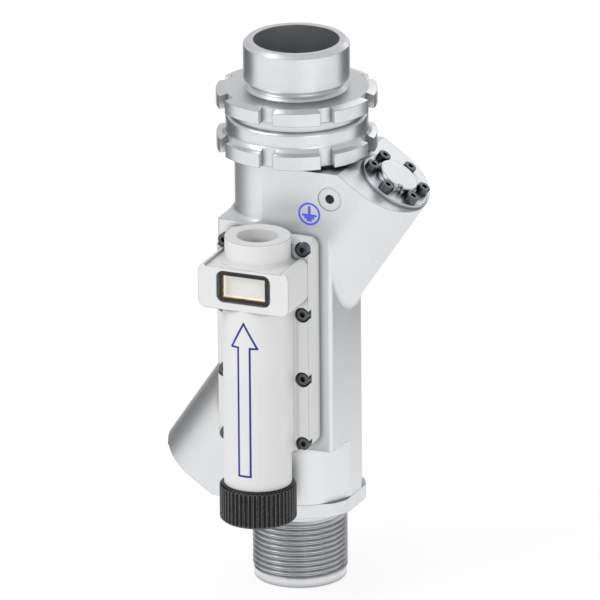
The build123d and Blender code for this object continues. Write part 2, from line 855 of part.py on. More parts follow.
display_board_back = panel_back - display_board_thickness
with BuildPart() as display_board:
    with BuildSketch(Plane.XZ.offset(display_board_back)):
        with Locations((0, (head_cavity_bottom + head_cavity_top) / 2)):
            RectangleRounded(
                2 * (head_cavity_half_width - board_gap),
                head_cavity_top - head_cavity_bottom - 2 * board_gap,
                cavity_corner,
            )
    extrude(amount=display_board_thickness)
save(display_board, "display_board")

with BuildPart() as display_ribbon:
    with BuildSketch(Plane.XZ.offset(board_back + board_thickness)):
        with Locations((0, ribbon_level)):
            Rectangle(ribbon_width, ribbon_thickness)
    extrude(amount=display_board_back - board_back - board_thickness)
save(display_ribbon, "display_ribbon")

# Port connector: metal shell, plastic insert and five pins
shell_bottom = port_floor - connector_height
with BuildPart() as port_connector:
    with BuildSketch(Plane.XY.offset(shell_bottom)):
        with Locations((0, port_ring_y)):
            Circle(connector_radius)
            Circle(insert_radius, mode=Mode.SUBTRACT)
    extrude(amount=connector_height)
    with BuildSketch(Plane.XY.offset(head_cavity_top)):
        with Locations((0, port_ring_y)):
            Circle(connector_tail_radius)
            Circle(insert_radius, mode=Mode.SUBTRACT)
    extrude(amount=shell_bottom - head_cavity_top)
save(port_connector, "port_connector")

pin_places = [
    (
        pin_pitch_radius * cos(2 * pi * index / pin_count),
        port_ring_y + pin_pitch_radius * sin(2 * pi * index / pin_count),
    )
    for index in range(pin_count)
]
with BuildPart() as port_insert:
    with BuildSketch(Plane.XY.offset(head_cavity_top)):
        with Locations((0, port_ring_y)):
            Circle(insert_radius)
        with Locations(*pin_places):
            Circle(pin_radius, mode=Mode.SUBTRACT)
    extrude(amount=insert_height)
save(port_insert, "port_insert")

with BuildPart() as port_pins:
    with BuildSketch(Plane.XY.offset(head_cavity_top - pin_tail)):
        with Locations(*pin_places):
            Circle(pin_radius)
    extrude(amount=pin_length)
    fillet(port_pins.faces().sort_by(Axis.Z)[-pin_count:].edges(), pin_radius / 2)
save(port_pins, "port_pins")

# Battery: contact in the housing, two cells in one sleeve, spring in the cap
cell_bottom = cap_bottom + cap_floor + spring_height
cell_top = cell_bottom + 2 * cell_length
with BuildPart() as battery_cells:
    for cell_start in (cell_bottom, cell_bottom + cell_length):
        with BuildSketch(Plane.XY.offset(cell_start)):
            with Locations((0, tube_y)):
                Circle(cell_radius)
        extrude(amount=cell_length - nub_height)
        with BuildSketch(Plane.XY.offset(cell_start + cell_length - nub_height)):
            with Locations((0, tube_y)):
                Circle(nub_radius)
        extrude(amount=nub_height)
save(battery_cells, "battery_cells")

with BuildPart() as battery_contact:
    with BuildSketch(Plane.XY.offset(cell_top)):
        with Locations((0, tube_y)):
            Circle(contact_radius)
    extrude(amount=contact_thickness)
    with BuildSketch(Plane.XY.offset(cell_top + contact_thickness)):
        with Locations((0, tube_y)):
            Circle(nub_radius)
    extrude(amount=battery_bore_top - cell_top - contact_thickness)
save(battery_contact, "battery_contact")

with BuildPart() as cap_spring:
    spring_start = cap_bottom + cap_floor + spring_wire_radius
    spring_rise = spring_height - 2 * spring_wire_radius - contact_gap
    with BuildLine():
        coil = Helix(
            spring_rise / spring_coils, spring_rise, spring_radius, center=(0, tube_y, spring_start)
        )
    with BuildSketch(Plane(origin=coil @ 0, z_dir=coil % 0)):
        Circle(spring_wire_radius)
    sweep(path=coil, is_frenet=True)
save(cap_spring, "cap_spring")

# Knurled end cap and its seal
with BuildPart() as end_cap:
    with BuildSketch(Plane.XY.offset(cap_bottom)):
        with Locations((0, tube_y)):
            Circle(cap_radius)
    extrude(amount=cap_height)
    chamfer(rim(end_cap, cap_top, cap_radius) + rim(end_cap, cap_bottom, cap_radius), cap_chamfer)
    with BuildSketch(Plane.XY.offset(cap_bottom)):
        with Locations((0, tube_y)):
            with PolarLocations(cap_radius + knurl_groove_radius - knurl_depth, knurl_count):
                Circle(knurl_groove_radius)
    extrude(amount=cap_height, mode=Mode.SUBTRACT)
    with BuildSketch(Plane.XY.offset(cap_bottom + cap_floor)):
        with Locations((0, tube_y)):
            Circle(cap_pocket_radius)
    extrude(amount=cap_height, mode=Mode.SUBTRACT)
    with BuildSketch(Plane.XY.offset(tube_end - tube_end_gap)):
        with Locations((0, tube_y)):
            Circle(tube_thread_radius + tube_thread_gap)
    extrude(amount=cap_height, mode=Mode.SUBTRACT)
save(end_cap, "end_cap")

with BuildPart() as end_cap_seal:
    with BuildSketch(Plane.XZ.offset(-tube_y)):
        with Locations((tube_thread_radius - cap_seal_section / 2, seal_level)):
            Circle(cap_seal_section / 2)
    revolve(axis=Axis((0, tube_y, 0), (0, 0, 1)))
save(end_cap_seal, "end_cap_seal")
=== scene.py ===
# %% Frame
import math

import bmesh
import bpy
from mathutils import Matrix, Quaternion, Vector


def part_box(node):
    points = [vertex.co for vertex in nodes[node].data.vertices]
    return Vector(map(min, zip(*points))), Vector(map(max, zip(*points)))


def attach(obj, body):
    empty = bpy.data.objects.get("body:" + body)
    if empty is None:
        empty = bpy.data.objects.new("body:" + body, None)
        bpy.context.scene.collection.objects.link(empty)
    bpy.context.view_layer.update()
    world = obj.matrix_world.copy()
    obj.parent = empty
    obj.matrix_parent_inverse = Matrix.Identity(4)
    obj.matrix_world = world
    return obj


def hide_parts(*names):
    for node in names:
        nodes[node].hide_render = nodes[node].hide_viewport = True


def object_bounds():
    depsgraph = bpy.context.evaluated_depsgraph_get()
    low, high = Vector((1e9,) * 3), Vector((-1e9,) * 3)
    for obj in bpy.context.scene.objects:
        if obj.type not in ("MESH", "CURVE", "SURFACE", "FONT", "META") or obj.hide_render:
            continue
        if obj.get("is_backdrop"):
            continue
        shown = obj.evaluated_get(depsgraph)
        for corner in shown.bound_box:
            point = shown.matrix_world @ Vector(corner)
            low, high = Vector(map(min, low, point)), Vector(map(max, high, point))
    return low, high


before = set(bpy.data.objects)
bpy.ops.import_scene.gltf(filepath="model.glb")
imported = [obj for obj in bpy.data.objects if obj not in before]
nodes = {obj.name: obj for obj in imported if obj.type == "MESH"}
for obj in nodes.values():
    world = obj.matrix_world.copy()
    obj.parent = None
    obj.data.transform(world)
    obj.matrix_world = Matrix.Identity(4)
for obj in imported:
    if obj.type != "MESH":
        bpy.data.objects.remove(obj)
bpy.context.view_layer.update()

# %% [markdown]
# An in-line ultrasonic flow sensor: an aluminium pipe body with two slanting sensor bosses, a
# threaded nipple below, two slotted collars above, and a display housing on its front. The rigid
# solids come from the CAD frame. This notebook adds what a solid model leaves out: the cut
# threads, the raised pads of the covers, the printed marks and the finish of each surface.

MM = 0.001
print(len(nodes), "nodes")

# %% [markdown]
# The view of a drawing has no vanishing point, so parallel edges stay parallel. An orthographic
# camera would give that. A very long lens far away gives nearly the same picture and also keeps
# its framing when the camera is taken round the object, so that is what is used here.
# The object stands upright and is seen from its front right, a little from above.

# %% Camera
VIEW_AZIMUTH = math.radians(22.84)
VIEW_ELEVATION = math.radians(19.79)
VIEW_ROLL = math.radians(-0.46)
FRAME_WIDTH = 326.7 * MM
LENS = 1500.0
SENSOR = 36.0
VIEW_LEVEL = 158.1 * MM
VIEW_SHIFT = 0.9 * MM

camera_data = bpy.data.cameras.new("long_lens")
camera_data.lens = LENS
camera_data.sensor_width = SENSOR
camera_data.clip_start = 0.1
camera_data.clip_end = 200.0
camera = bpy.data.objects.new("camera", camera_data)
bpy.context.scene.collection.objects.link(camera)
bpy.context.scene.camera = camera
back = Vector((
    math.sin(VIEW_AZIMUTH) * math.cos(VIEW_ELEVATION),
    -math.cos(VIEW_AZIMUTH) * math.cos(VIEW_ELEVATION),
    math.sin(VIEW_ELEVATION),
))
right = Vector((math.cos(VIEW_AZIMUTH), math.sin(VIEW_AZIMUTH), 0))
target = Vector((0, 0, VIEW_LEVEL)) + right * VIEW_SHIFT
camera.location = target + back * (FRAME_WIDTH * LENS / SENSOR)
camera.rotation_mode = "QUATERNION"
camera.rotation_quaternion = back.to_track_quat("Z", "Y")
camera.rotation_quaternion.rotate(Quaternion(back, VIEW_ROLL))
print("camera at", [round(v, 2) for v in camera.location])

# %% [markdown]
# Every finish below is a small tree of shader nodes. Adding a node by hand takes three steps:
# make it, set it, link it. One helper does the three, so each material reads as a short list.
# Colours are written as sRGB hex, as in a paint chart, and turned to linear light in one place.

# %% Node and colour helpers
def linear(hex_colour):
    """An sRGB hex colour as linear RGBA."""
    channels = [int(hex_colour[i:i + 2], 16) / 255 for i in (1, 3, 5)]
    return [c / 12.92 if c <= 0.04045 else ((c + 0.055) / 1.055) ** 2.4 for c in channels] + [1.0]


def add_node(tree, kind, inputs=None, **settings):
    """Adds one node with its settings. Each input is a value, or a socket to link it to."""
    made = tree.nodes.new(kind)
    for name, value in settings.items():
        setattr(made, name, value)
    for name, value in (inputs or {}).items():
        if isinstance(value, bpy.types.NodeSocket):
            tree.links.new(value, made.inputs[name])
        else:
            made.inputs[name].default_value = value
    return made


def start_material(name, colour, metallic, roughness):
    """A material with one Principled shader whose plain values sit on its own sockets."""
    material = bpy.data.materials.new(name)
    material.use_nodes = True
    tree = material.node_tree
    tree.nodes.clear()
    shader = add_node(tree, "ShaderNodeBsdfPrincipled", {
        "Base Color": linear(colour), "Metallic": metallic, "Roughness": roughness,
    })
    add_node(tree, "ShaderNodeOutputMaterial", {"Surface": shader.outputs["BSDF"]})
    return material, tree, shader


def per_mm(size_mm):
    """Texture scale for a pattern that repeats about every size_mm, in object space metres."""
    return 1.0 / (size_mm * MM)


print("the sRGB grey #808080 is", round(linear("#808080")[0], 3), "in linear light")

# %% [markdown]
# A machined edge is never knife sharp. It is broken with a file or a small chamfer, and there the
# anodising wears first. The CAD edges are mostly sharp, so two things are added in the shader:
# the Bevel node bends the normal near an edge as if it were rounded, and where that bent normal
# leaves the true one the colour shifts a little. That edge tone falls on outer and inner edges
# alike: darker on the pale finishes, as part wear and part painted shade, and paler on the dark
# ones, as part wear and part painted highlight. Rounding every edge in the mesh would also work,
# but it would cost many faces for a radius that is less than a pixel wide. The inner corners get
# painted shade: ambient occlusion darkens their colour over a few millimetres. Together they draw
# the form as the outlines of a drawing do.

# %% Rounded edges, painted edge tone and crease shade
EDGE_RADIUS_MM = 0.5
# The cosine between the two normals where the edge tone starts, and where it is full.
EDGE_TONE_START = 0.995
EDGE_TONE_FULL = 0.82
CREASE_MM = 3.5
CORNER_SAMPLES = 6
# The Mix node has sockets for each kind of data, and these are the numbers of its colour ones.
MIX_FIRST, MIX_SECOND, MIX_RESULT = 6, 7, 2


def soft_edges(tree, radius_mm=EDGE_RADIUS_MM):
    """The normal rounded over the edges, and a mask that is 1 on an edge and 0 elsewhere."""
    rounded = add_node(tree, "ShaderNodeBevel", {"Radius": radius_mm * MM}, samples=CORNER_SAMPLES)
    surface = add_node(tree, "ShaderNodeNewGeometry")
    facing = add_node(tree, "ShaderNodeVectorMath", {
        0: rounded.outputs["Normal"], 1: surface.outputs["Normal"],
    }, operation="DOT_PRODUCT")
    # This mask lays on the edge tone: painted shade on the pale finishes and painted highlight on the
    # dark ones, with some wear in both.
    edge_mask = add_node(tree, "ShaderNodeMapRange", {
        "Value": facing.outputs["Value"], "From Min": EDGE_TONE_START, "From Max": EDGE_TONE_FULL,
    })
    return rounded.outputs["Normal"], edge_mask.outputs["Result"]


def object_point(tree):
    """The point on the surface in metres. Every node's object sits at the origin."""
    return add_node(tree, "ShaderNodeTexCoord").outputs["Object"]


def two_tone(tree, mask, first, second):
    """The colour that goes from first to second as the mask goes from 0 to 1."""
    ends = [
        value if isinstance(value, bpy.types.NodeSocket) else linear(value)
        for value in (first, second)
    ]
    mixed = add_node(tree, "ShaderNodeMix", {
        "Factor": mask, MIX_FIRST: ends[0], MIX_SECOND: ends[1],
    }, data_type="RGBA")
    return mixed.outputs[MIX_RESULT]


def painted_crease_shade(tree, colour):
    """The colour with painted shade: darker in the corners, where shade falls."""
    crease = add_node(tree, "ShaderNodeAmbientOcclusion", {
        "Color": colour, "Distance": CREASE_MM * MM,
    }, samples=CORNER_SAMPLES)
    return crease.outputs["Color"]


print("edges rounded by", EDGE_RADIUS_MM, "mm, creases darker over", CREASE_MM, "mm")

# %% [markdown]
# Bead-blasted, clear-anodised aluminium covers the body. Blasting leaves a fine even dimple all
# over, and the clear oxide makes the metal paler and satin. Real dimples are about 0.1 mm, less
# than a pixel here, so the bump is drawn at 1.1 mm with very little height, which only takes the
# mirror off the metal. A slow drift of tone over a few centimetres stops it looking like plastic.

# %% Bead-blasted anodised aluminium
BLAST_GRAIN_MM = 1.1
BLAST_DEPTH_MM = 0.05
BLAST_STRENGTH = 0.12
BLAST_ROUGHNESS = (-0.05, 0.07)
TONE_DRIFT_MM = 38.0


def blasted_aluminium(name, pale, deep, edge, roughness):
    """Satin aluminium with fine dimples, a slow drift of tone and darker edges."""
    material, tree, shader = start_material(name, pale, 1.0, roughness)
    point = object_point(tree)
    normal, edge_mask = soft_edges(tree)
    drift = add_node(tree, "ShaderNodeTexNoise", {
        "Vector": point, "Scale": per_mm(TONE_DRIFT_MM), "Detail": 2.0,
    })
    grain = add_node(tree, "ShaderNodeTexNoise", {
        "Vector": point, "Scale": per_mm(BLAST_GRAIN_MM), "Detail": 3.0,
    })
    tone = two_tone(tree, drift.outputs["Fac"], pale, deep)
    # Painted tones: the darker edge is part anodising wear and part painted shade, and the creases get
    # painted shade.
    edged = painted_crease_shade(tree, two_tone(tree, edge_mask, tone, edge))
    satin = add_node(tree, "ShaderNodeMapRange", {
        "Value": grain.outputs["Fac"],
        "To Min": roughness + BLAST_ROUGHNESS[0], "To Max": roughness + BLAST_ROUGHNESS[1],
    })
    dimples = add_node(tree, "ShaderNodeBump", {
        "Strength": BLAST_STRENGTH, "Distance": BLAST_DEPTH_MM * MM,
        "Height": grain.outputs["Fac"], "Normal": normal,
    })
    for socket, value in (("Base Color", edged), ("Roughness", satin.outputs["Result"]),
                          ("Normal", dimples.outputs["Normal"])):
        tree.links.new(value, shader.inputs[socket])
    return material


# The third colour is the darker edge tone, part anodising wear and part painted shade.
body_finish = blasted_aluminium(
    "bead_blasted_anodised_aluminium", "#EFF0F1", "#E4E6E8", "#8C9095", 0.44
)
print("material", body_finish.name)

# %% [markdown]
# The collars, the spigot, the nipple and the covers are turned on a lathe. The tool leaves rings
# round the axis: level lines on a cylinder, circles on a face. A wave of bands along the axis
# draws the first, a wave of rings across it draws the second, and each vanishes where the other
# shows. Real tool marks are 0.1 to 0.2 mm apart, so they are drawn 1.3 mm apart to show at all.
# The Wave node takes the sine of 20 times its point, so at a scale of 1 a band is 2 pi / 20 long.

# %% Turned aluminium
TOOL_MARK_MM = 1.3
TOOL_MARK_DEPTH_MM = 0.04
TOOL_MARK_STRENGTH = 0.18
TOOL_MARK_ROUGHNESS = (-0.05, 0.08)
WAVE_BAND = 2 * math.pi / 20
STREAK_MM = 9.0


def turned_aluminium(name, pale, deep, edge, roughness, centre=(0, 0, 0), tilt=0.0):
    """Lathe-turned aluminium; centre and tilt (about Y) place the lathe axis."""
    material, tree, shader = start_material(name, pale, 1.0, roughness)
    lathe = add_node(tree, "ShaderNodeMapping", {
        "Vector": object_point(tree), "Location": centre, "Rotation": (0, tilt, 0),
    }, vector_type="TEXTURE")
    normal, edge_mask = soft_edges(tree)
    marks = []
    for kind, direction in (("BANDS", "bands_direction"), ("RINGS", "rings_direction")):
        wave = add_node(tree, "ShaderNodeTexWave", {
            "Vector": lathe.outputs["Vector"], "Scale": per_mm(TOOL_MARK_MM) * WAVE_BAND,
            "Distortion": 0.6, "Detail": 1.0, "Detail Scale": 2.0,
        }, wave_type=kind, **{direction: "Z"})
        marks.append(wave.outputs["Fac"])
    both = add_node(tree, "ShaderNodeMath", {0: marks[0], 1: marks[1]}, operation="ADD")
    streak = add_node(tree, "ShaderNodeTexNoise", {
        "Vector": lathe.outputs["Vector"], "Scale": per_mm(STREAK_MM), "Detail": 2.0,
    })
    tone = two_tone(tree, streak.outputs["Fac"], pale, deep)
    # Painted tones: the darker edge is part anodising wear and part painted shade, and the creases get
    # painted shade.
    edged = painted_crease_shade(tree, two_tone(tree, edge_mask, tone, edge))
    sheen = add_node(tree, "ShaderNodeMapRange", {
        "Value": both.outputs["Value"], "From Max": 2.0,
        "To Min": roughness + TOOL_MARK_ROUGHNESS[0], "To Max": roughness + TOOL_MARK_ROUGHNESS[1],
    })
    grooves = add_node(tree, "ShaderNodeBump", {
        "Strength": TOOL_MARK_STRENGTH, "Distance": TOOL_MARK_DEPTH_MM * MM,
        "Height": both.outputs["Value"], "Normal": normal,
    })
    for socket, value in (("Base Color", edged), ("Roughness", sheen.outputs["Result"]),
                          ("Normal", grooves.outputs["Normal"])):
        tree.links.new(value, shader.inputs[socket])
    return material


# The third colour is the darker edge tone, part anodising wear and part painted shade.
fitting_finish = turned_aluminium(
    "turned_anodised_aluminium", "#E9EAEC", "#DADCDF", "#83878C", 0.33
)
print("material", fitting_finish.name)

# %% [markdown]
# The round covers are turned too, but their axis is the slanting one of the sensor bosses. Each
# gets its own material, whose lathe axis runs through the middle of its seal at the boss's tilt.

# %% Turned covers
BOSS_TILT = math.radians(34.0)
seal_centre, cover_finish = {}, {}
for end in ("upper", "lower"):
    low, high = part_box(f"{end}_cover_seal")
    seal_centre[end] = (low + high) / 2
    # The third colour is the darker edge tone, part anodising wear and part painted shade.
    cover_finish[end] = turned_aluminium(
        f"faced_anodised_aluminium_{end}", "#DDDFE2", "#CCCFD3", "#7B7F84", 0.36,
        seal_centre[end], BOSS_TILT,
    )
print("materials", [finish.name for finish in cover_finish.values()])

# %% [markdown]
# The housing is a die casting with a powder coat. The powder melts into a skin with the gentle
# waviness of orange peel, matt to satin, and it rounds every edge over. Here it is nearly white.
# The peel is real at 1 to 2 mm, so it is drawn at its own size.

# %% Powder-coated casting
PEEL_MM = 1.6
PEEL_DEPTH_MM = 0.06
PEEL_STRENGTH = 0.2
COAT_DRIFT_MM = 30.0
COAT_EDGE_MM = 0.7


def powder_coat(name, colour, deep, edge, roughness):
    """A wavy satin paint skin over a casting."""
    material, tree, shader = start_material(name, colour, 0.0, roughness)
    point = object_point(tree)
    normal, edge_mask = soft_edges(tree, COAT_EDGE_MM)
    peel = add_node(tree, "ShaderNodeTexNoise", {
        "Vector": point, "Scale": per_mm(PEEL_MM), "Detail": 1.5,
    })
    drift = add_node(tree, "ShaderNodeTexNoise", {
        "Vector": point, "Scale": per_mm(COAT_DRIFT_MM),
    })
    tone = two_tone(tree, drift.outputs["Fac"], colour, deep)
    # Painted tones: the darker edge is part wear and part painted shade, and the creases get painted
    # shade.
    edged = painted_crease_shade(tree, two_tone(tree, edge_mask, tone, edge))
    skin = add_node(tree, "ShaderNodeBump", {
        "Strength": PEEL_STRENGTH, "Distance": PEEL_DEPTH_MM * MM,
        "Height": peel.outputs["Fac"], "Normal": normal,
    })
    tree.links.new(edged, shader.inputs["Base Color"])
    tree.links.new(skin.outputs["Normal"], shader.inputs["Normal"])
    return material


# The third colour is the darker edge tone, part wear and part painted shade.
housing_finish = powder_coat("powder_coated_casting", "#F1F1F0", "#E9EAEA", "#A3A6A9", 0.45)
print("material", housing_finish.name)

# %% [markdown]
# The end cap is knurled aluminium in black anodising. Hands wear the crests of the knurl first, so
# they shine as thin pale lines between black grooves; that pale tone is part wear and part painted
# highlight. The edge mask gives the crests. The socket head screws are stainless steel with the
# dark skin of heat treatment, paler on the rims, again as part wear and part painted highlight.

# %% Black anodising and dark steel
DARK_GRAIN_DEPTH_MM = 0.03
DARK_GRAIN_STRENGTH = 0.15


def blackened_metal(name, colour, crest, metallic, roughness, edge_mm, grain_mm):
    """A dark conversion coat on metal, paler on its edges: part wear, part painted highlight."""
    material, tree, shader = start_material(name, colour, metallic, roughness)
    normal, edge_mask = soft_edges(tree, edge_mm)
    grain = add_node(tree, "ShaderNodeTexNoise", {
        "Vector": object_point(tree), "Scale": per_mm(grain_mm), "Detail": 2.0,
    })
    # The pale edge is part wear and part painted highlight; the creases get painted shade.
    rubbed_and_highlit = add_node(tree, "ShaderNodeMath", {0: edge_mask, 1: grain.outputs["Fac"]}, operation="MULTIPLY")
    tone = painted_crease_shade(tree, two_tone(tree, rubbed_and_highlit.outputs["Value"], colour, crest))
    bump = add_node(tree, "ShaderNodeBump", {
        "Strength": DARK_GRAIN_STRENGTH, "Distance": DARK_GRAIN_DEPTH_MM * MM,
        "Height": grain.outputs["Fac"], "Normal": normal,
    })
    tree.links.new(tone, shader.inputs["Base Color"])
    tree.links.new(bump.outputs["Normal"], shader.inputs["Normal"])
    return material


# In both, the second colour is the pale edge tone, part wear and part painted highlight.
cap_finish = blackened_metal(
    "black_anodised_knurl", "#131315", "#F0F1F3", metallic=0.6, roughness=0.36, edge_mm=0.5, grain_mm=0.8
)
screw_finish = blackened_metal(
    "dark_stainless_steel", "#626468", "#D8DADC", metallic=1.0, roughness=0.30, edge_mm=0.25, grain_mm=0.9
)
print("materials", cap_finish.name, screw_finish.name)

# %% [markdown]
# The display sits behind a flat pane of glass in a shallow pocket. Glass this thin is mostly a
# reflection over what is behind it, so it is a smooth, nearly clear coat of alpha rather than a
# refracting block. A black border is printed on the pane, as on most instruments: it hides the
# rim of the display. The border is what lies inside one rectangle and outside a smaller one. A
# separate piece of black film would do it too, at the cost of two faces that lie almost in one
# plane.

# %% Window glass
WINDOW_BORDER_MM = (28.4, 16.2)
WINDOW_OPENING_MM = (24.8, 12.7)
GLASS_COLOUR = "#EEF4F6"
GLASS_IOR = 1.5
GLASS_ALPHA = (0.07, 0.12)
SMEAR_MM = 12.0
window_low, window_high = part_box("display_window")
window_middle = (window_low + window_high) / 2


def inside_rectangle(tree, centre, size_mm):
    """1 inside an upright rectangle that faces the front, 0 outside it."""
    scaled = add_node(tree, "ShaderNodeMapping", {
        "Vector": object_point(tree), "Location": centre,
        "Scale": (size_mm[0] * MM / 2, 1.0, size_mm[1] * MM / 2),
    }, vector_type="TEXTURE")
    apart = add_node(tree, "ShaderNodeVectorMath", {
        0: scaled.outputs["Vector"],
    }, operation="ABSOLUTE")
    axes = add_node(tree, "ShaderNodeSeparateXYZ", {"Vector": apart.outputs["Vector"]})
    farthest = add_node(tree, "ShaderNodeMath", {
        0: axes.outputs["X"], 1: axes.outputs["Z"],
    }, operation="MAXIMUM")
    within = add_node(tree, "ShaderNodeMath", {
        0: farthest.outputs["Value"], 1: 1.0,
    }, operation="LESS_THAN")
    return within.outputs["Value"]


glass, glass_tree, glass_shader = start_material("clear_window_glass", GLASS_COLOUR, 0.0, 0.03)
glass_shader.inputs["IOR"].default_value = GLASS_IOR
glass_smear = add_node(glass_tree, "ShaderNodeTexNoise", {
    "Vector": object_point(glass_tree), "Scale": per_mm(SMEAR_MM), "Detail": 2.0,
})
glass_clear = add_node(glass_tree, "ShaderNodeMapRange", {
    "Value": glass_smear.outputs["Fac"], "To Min": GLASS_ALPHA[0], "To Max": GLASS_ALPHA[1],
})
glass_print = add_node(glass_tree, "ShaderNodeMath", {
    0: inside_rectangle(glass_tree, window_middle, WINDOW_BORDER_MM),
    1: inside_rectangle(glass_tree, window_middle, WINDOW_OPENING_MM),
}, operation="SUBTRACT")
glass_alpha = add_node(glass_tree, "ShaderNodeMath", {
    0: glass_clear.outputs["Result"], 1: glass_print.outputs["Value"],
}, operation="MAXIMUM")
glass_tone = two_tone(glass_tree, glass_print.outputs["Value"], GLASS_COLOUR, "#0B0B0D")
glass_tree.links.new(glass_tone, glass_shader.inputs["Base Color"])
glass_tree.links.new(glass_alpha.outputs["Value"], glass_shader.inputs["Alpha"])
print("material", glass.name)

# %% [markdown]
# An acrylic light guide lines the opening behind the glass. Its front lip is tinted amber and
# shows as a thin line, and the rest of it is frosted. Both are one piece of plastic, so the tone
# changes with the depth behind the lip. The guide has a weak emission all over: painted light,
# as the display is off and no lamp lights the guide.

# %% Amber light guide
AMBER_DEPTH_MM = 0.7
AMBER_DRIFT_MM = 6.0
AMBER_PAINTED_GLOW = 0.3
guide_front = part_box("display_frame")[0].y
amber, amber_tree, amber_shader = start_material("amber_acrylic", "#FFB81C", 0.0, 0.22)
amber_glow = add_node(amber_tree, "ShaderNodeTexNoise", {
    "Vector": object_point(amber_tree), "Scale": per_mm(AMBER_DRIFT_MM),
})
amber_tone = two_tone(amber_tree, amber_glow.outputs["Fac"], "#FFCB3A", "#FFBC10")
guide_point = add_node(amber_tree, "ShaderNodeSeparateXYZ", {"Vector": object_point(amber_tree)})
guide_depth = add_node(amber_tree, "ShaderNodeMath", {
    0: guide_point.outputs["Y"], 1: guide_front + AMBER_DEPTH_MM * MM,
}, operation="GREATER_THAN")
guide_tone = two_tone(amber_tree, guide_depth.outputs["Value"], amber_tone, "#F7F5EF")
amber_tree.links.new(guide_tone, amber_shader.inputs["Base Color"])
# The guide's tone is also its emission colour: a painted glow, as no lamp lights it.
amber_tree.links.new(guide_tone, amber_shader.inputs["Emission Color"])
amber_shader.inputs["Emission Strength"].default_value = AMBER_PAINTED_GLOW
print("material", amber.name)

# %% [markdown]
# The display is switched off: a pale film with the faint grid of its dots, 0.19 mm apart in life
# and drawn 0.6 mm apart, because closer dots would melt into one tone.

# %% Blank display film
DOT_PITCH_MM = 0.6
panel, panel_tree, panel_shader = start_material("blank_display_film", "#FAFAF8", 0.0, 0.3)
panel_dots = add_node(panel_tree, "ShaderNodeTexChecker", {
    "Vector": object_point(panel_tree), "Scale": per_mm(DOT_PITCH_MM),
    "Color1": linear("#FBFBFA"), "Color2": linear("#F2F3F1"),
})
panel_tree.links.new(panel_dots.outputs["Color"], panel_shader.inputs["Base Color"])
print("material", panel.name)

# %% [markdown]
# The pieces inside show only through the port, the bores or when the cap is off. Each still has
# the finish of the real one: rubber rings, silicone leads, a green laminate board, gilt pins,
# nickel-plated springs. They differ only in colour, gloss and grain, so one function makes them
# all from a small table: colour, second tone, metallic, roughness, then grain and relief in
# millimetres.

# %% Finishes inside
RELIEF_STRENGTH = 0.3
INSIDE = {
    "nitrile_rubber": ("#1B1B1C", "#242425", 0.0, 0.62, 0.5, 0.10),
    "silicone_lead": ("#3A3A3E", "#2E2E31", 0.0, 0.50, 1.0, 0.04),
    "passivated_steel": ("#B9BBBD", "#A9ABAE", 1.0, 0.32, 0.8, 0.03),
    "green_laminate": ("#1E6B3C", "#185931", 0.0, 0.35, 0.9, 0.03),
    "polyimide_film": ("#C9872B", "#B87620", 0.0, 0.30, 1.5, 0.02),
    "nickel_plate": ("#C8C4BA", "#B8B4AA", 1.0, 0.25, 0.7, 0.02),
    "black_polyamide": ("#18181A", "#202022", 0.0, 0.48, 0.6, 0.05),
    "gilt_brass": ("#D9B25F", "#C79F4C", 1.0, 0.22, 0.7, 0.02),
    "cell_sleeve": ("#5F7FA8", "#53729A", 0.0, 0.35, 2.0, 0.02),
    "spring_wire": ("#A9ABAD", "#97999C", 1.0, 0.28, 0.6, 0.03),
}


def plain_finish(name, colour, second, metallic, roughness, grain_mm, relief_mm):
    """A simple finish: two close tones and a fine relief."""
    material, tree, shader = start_material(name, colour, metallic, roughness)
    grain = add_node(tree, "ShaderNodeTexNoise", {
        "Vector": object_point(tree), "Scale": per_mm(grain_mm), "Detail": 2.0,
    })
    bump = add_node(tree, "ShaderNodeBump", {
        "Strength": RELIEF_STRENGTH, "Distance": relief_mm * MM, "Height": grain.outputs["Fac"],
    })
    tone = two_tone(tree, grain.outputs["Fac"], colour, second)
    tree.links.new(tone, shader.inputs["Base Color"])
    tree.links.new(bump.outputs["Normal"], shader.inputs["Normal"])
    return material


inside = {name: plain_finish(name, *values) for name, values in INSIDE.items()}
print("inside finishes", len(inside))

# %% [markdown]
# A CAD node keeps its mesh and takes a finish through its material slots. The table says which
# finish each piece has: a wrong name stops the script here, and the count shows a missing one.

# %% Finishes onto the pieces
FINISHES = {
    body_finish: ["flow_body"],
    fitting_finish: ["outlet_neck", "outlet_spigot"],
    cover_finish["upper"]: ["upper_transducer_cover"],
    cover_finish["lower"]: ["lower_transducer_cover"],
    housing_finish: ["electronics_housing"],
    screw_finish: ["upper_cover_screws", "lower_cover_screws", "housing_screws"],
    cap_finish: ["end_cap"],
    glass: ["display_window"],
    amber: ["display_frame"],
    panel: ["display_panel"],
    inside["nitrile_rubber"]: [
        "inlet_seal_ring", "neck_seal_ring", "spigot_seal_ring", "upper_cover_seal",
        "lower_cover_seal", "housing_seal", "end_cap_seal",
    ],
    inside["silicone_lead"]: ["upper_transducer_lead", "lower_transducer_lead"],
    inside["passivated_steel"]: ["upper_transducer", "lower_transducer", "board_screws"],
    inside["green_laminate"]: ["circuit_board", "display_board"],
    inside["polyimide_film"]: ["display_ribbon"],
    inside["nickel_plate"]: ["port_connector", "battery_contact"],
    inside["black_polyamide"]: ["port_insert"],
    inside["gilt_brass"]: ["port_pins"],
    inside["cell_sleeve"]: ["battery_cells"],
    inside["spring_wire"]: ["cap_spring"],
}
finished = 0
for finish, names in FINISHES.items():
    for name in names:
        for slot in nodes[name].material_slots:
            slot.material = finish
        finished += 1
print("finished", finished, "of", len(nodes), "CAD nodes; the rest are replaced below")

# %% [markdown]
# A screw thread is a ridge that climbs one pitch in each turn. In CAD it is left off, because it
# costs thousands of faces. Here it is a lathe mesh: rings of points up the axis, whose radius
# follows the thread profile with the angle, so the ridge climbs by itself. A Screw modifier on a
# tooth profile also makes a thread, but its ends need trimming.

# %% Lathe mesh helper
SHARP_ANGLE = math.radians(28)
# Shares of one pitch that are flat at the root and at the crest of the thread.
ROOT_FLAT, CREST_FLAT = 0.25, 0.125


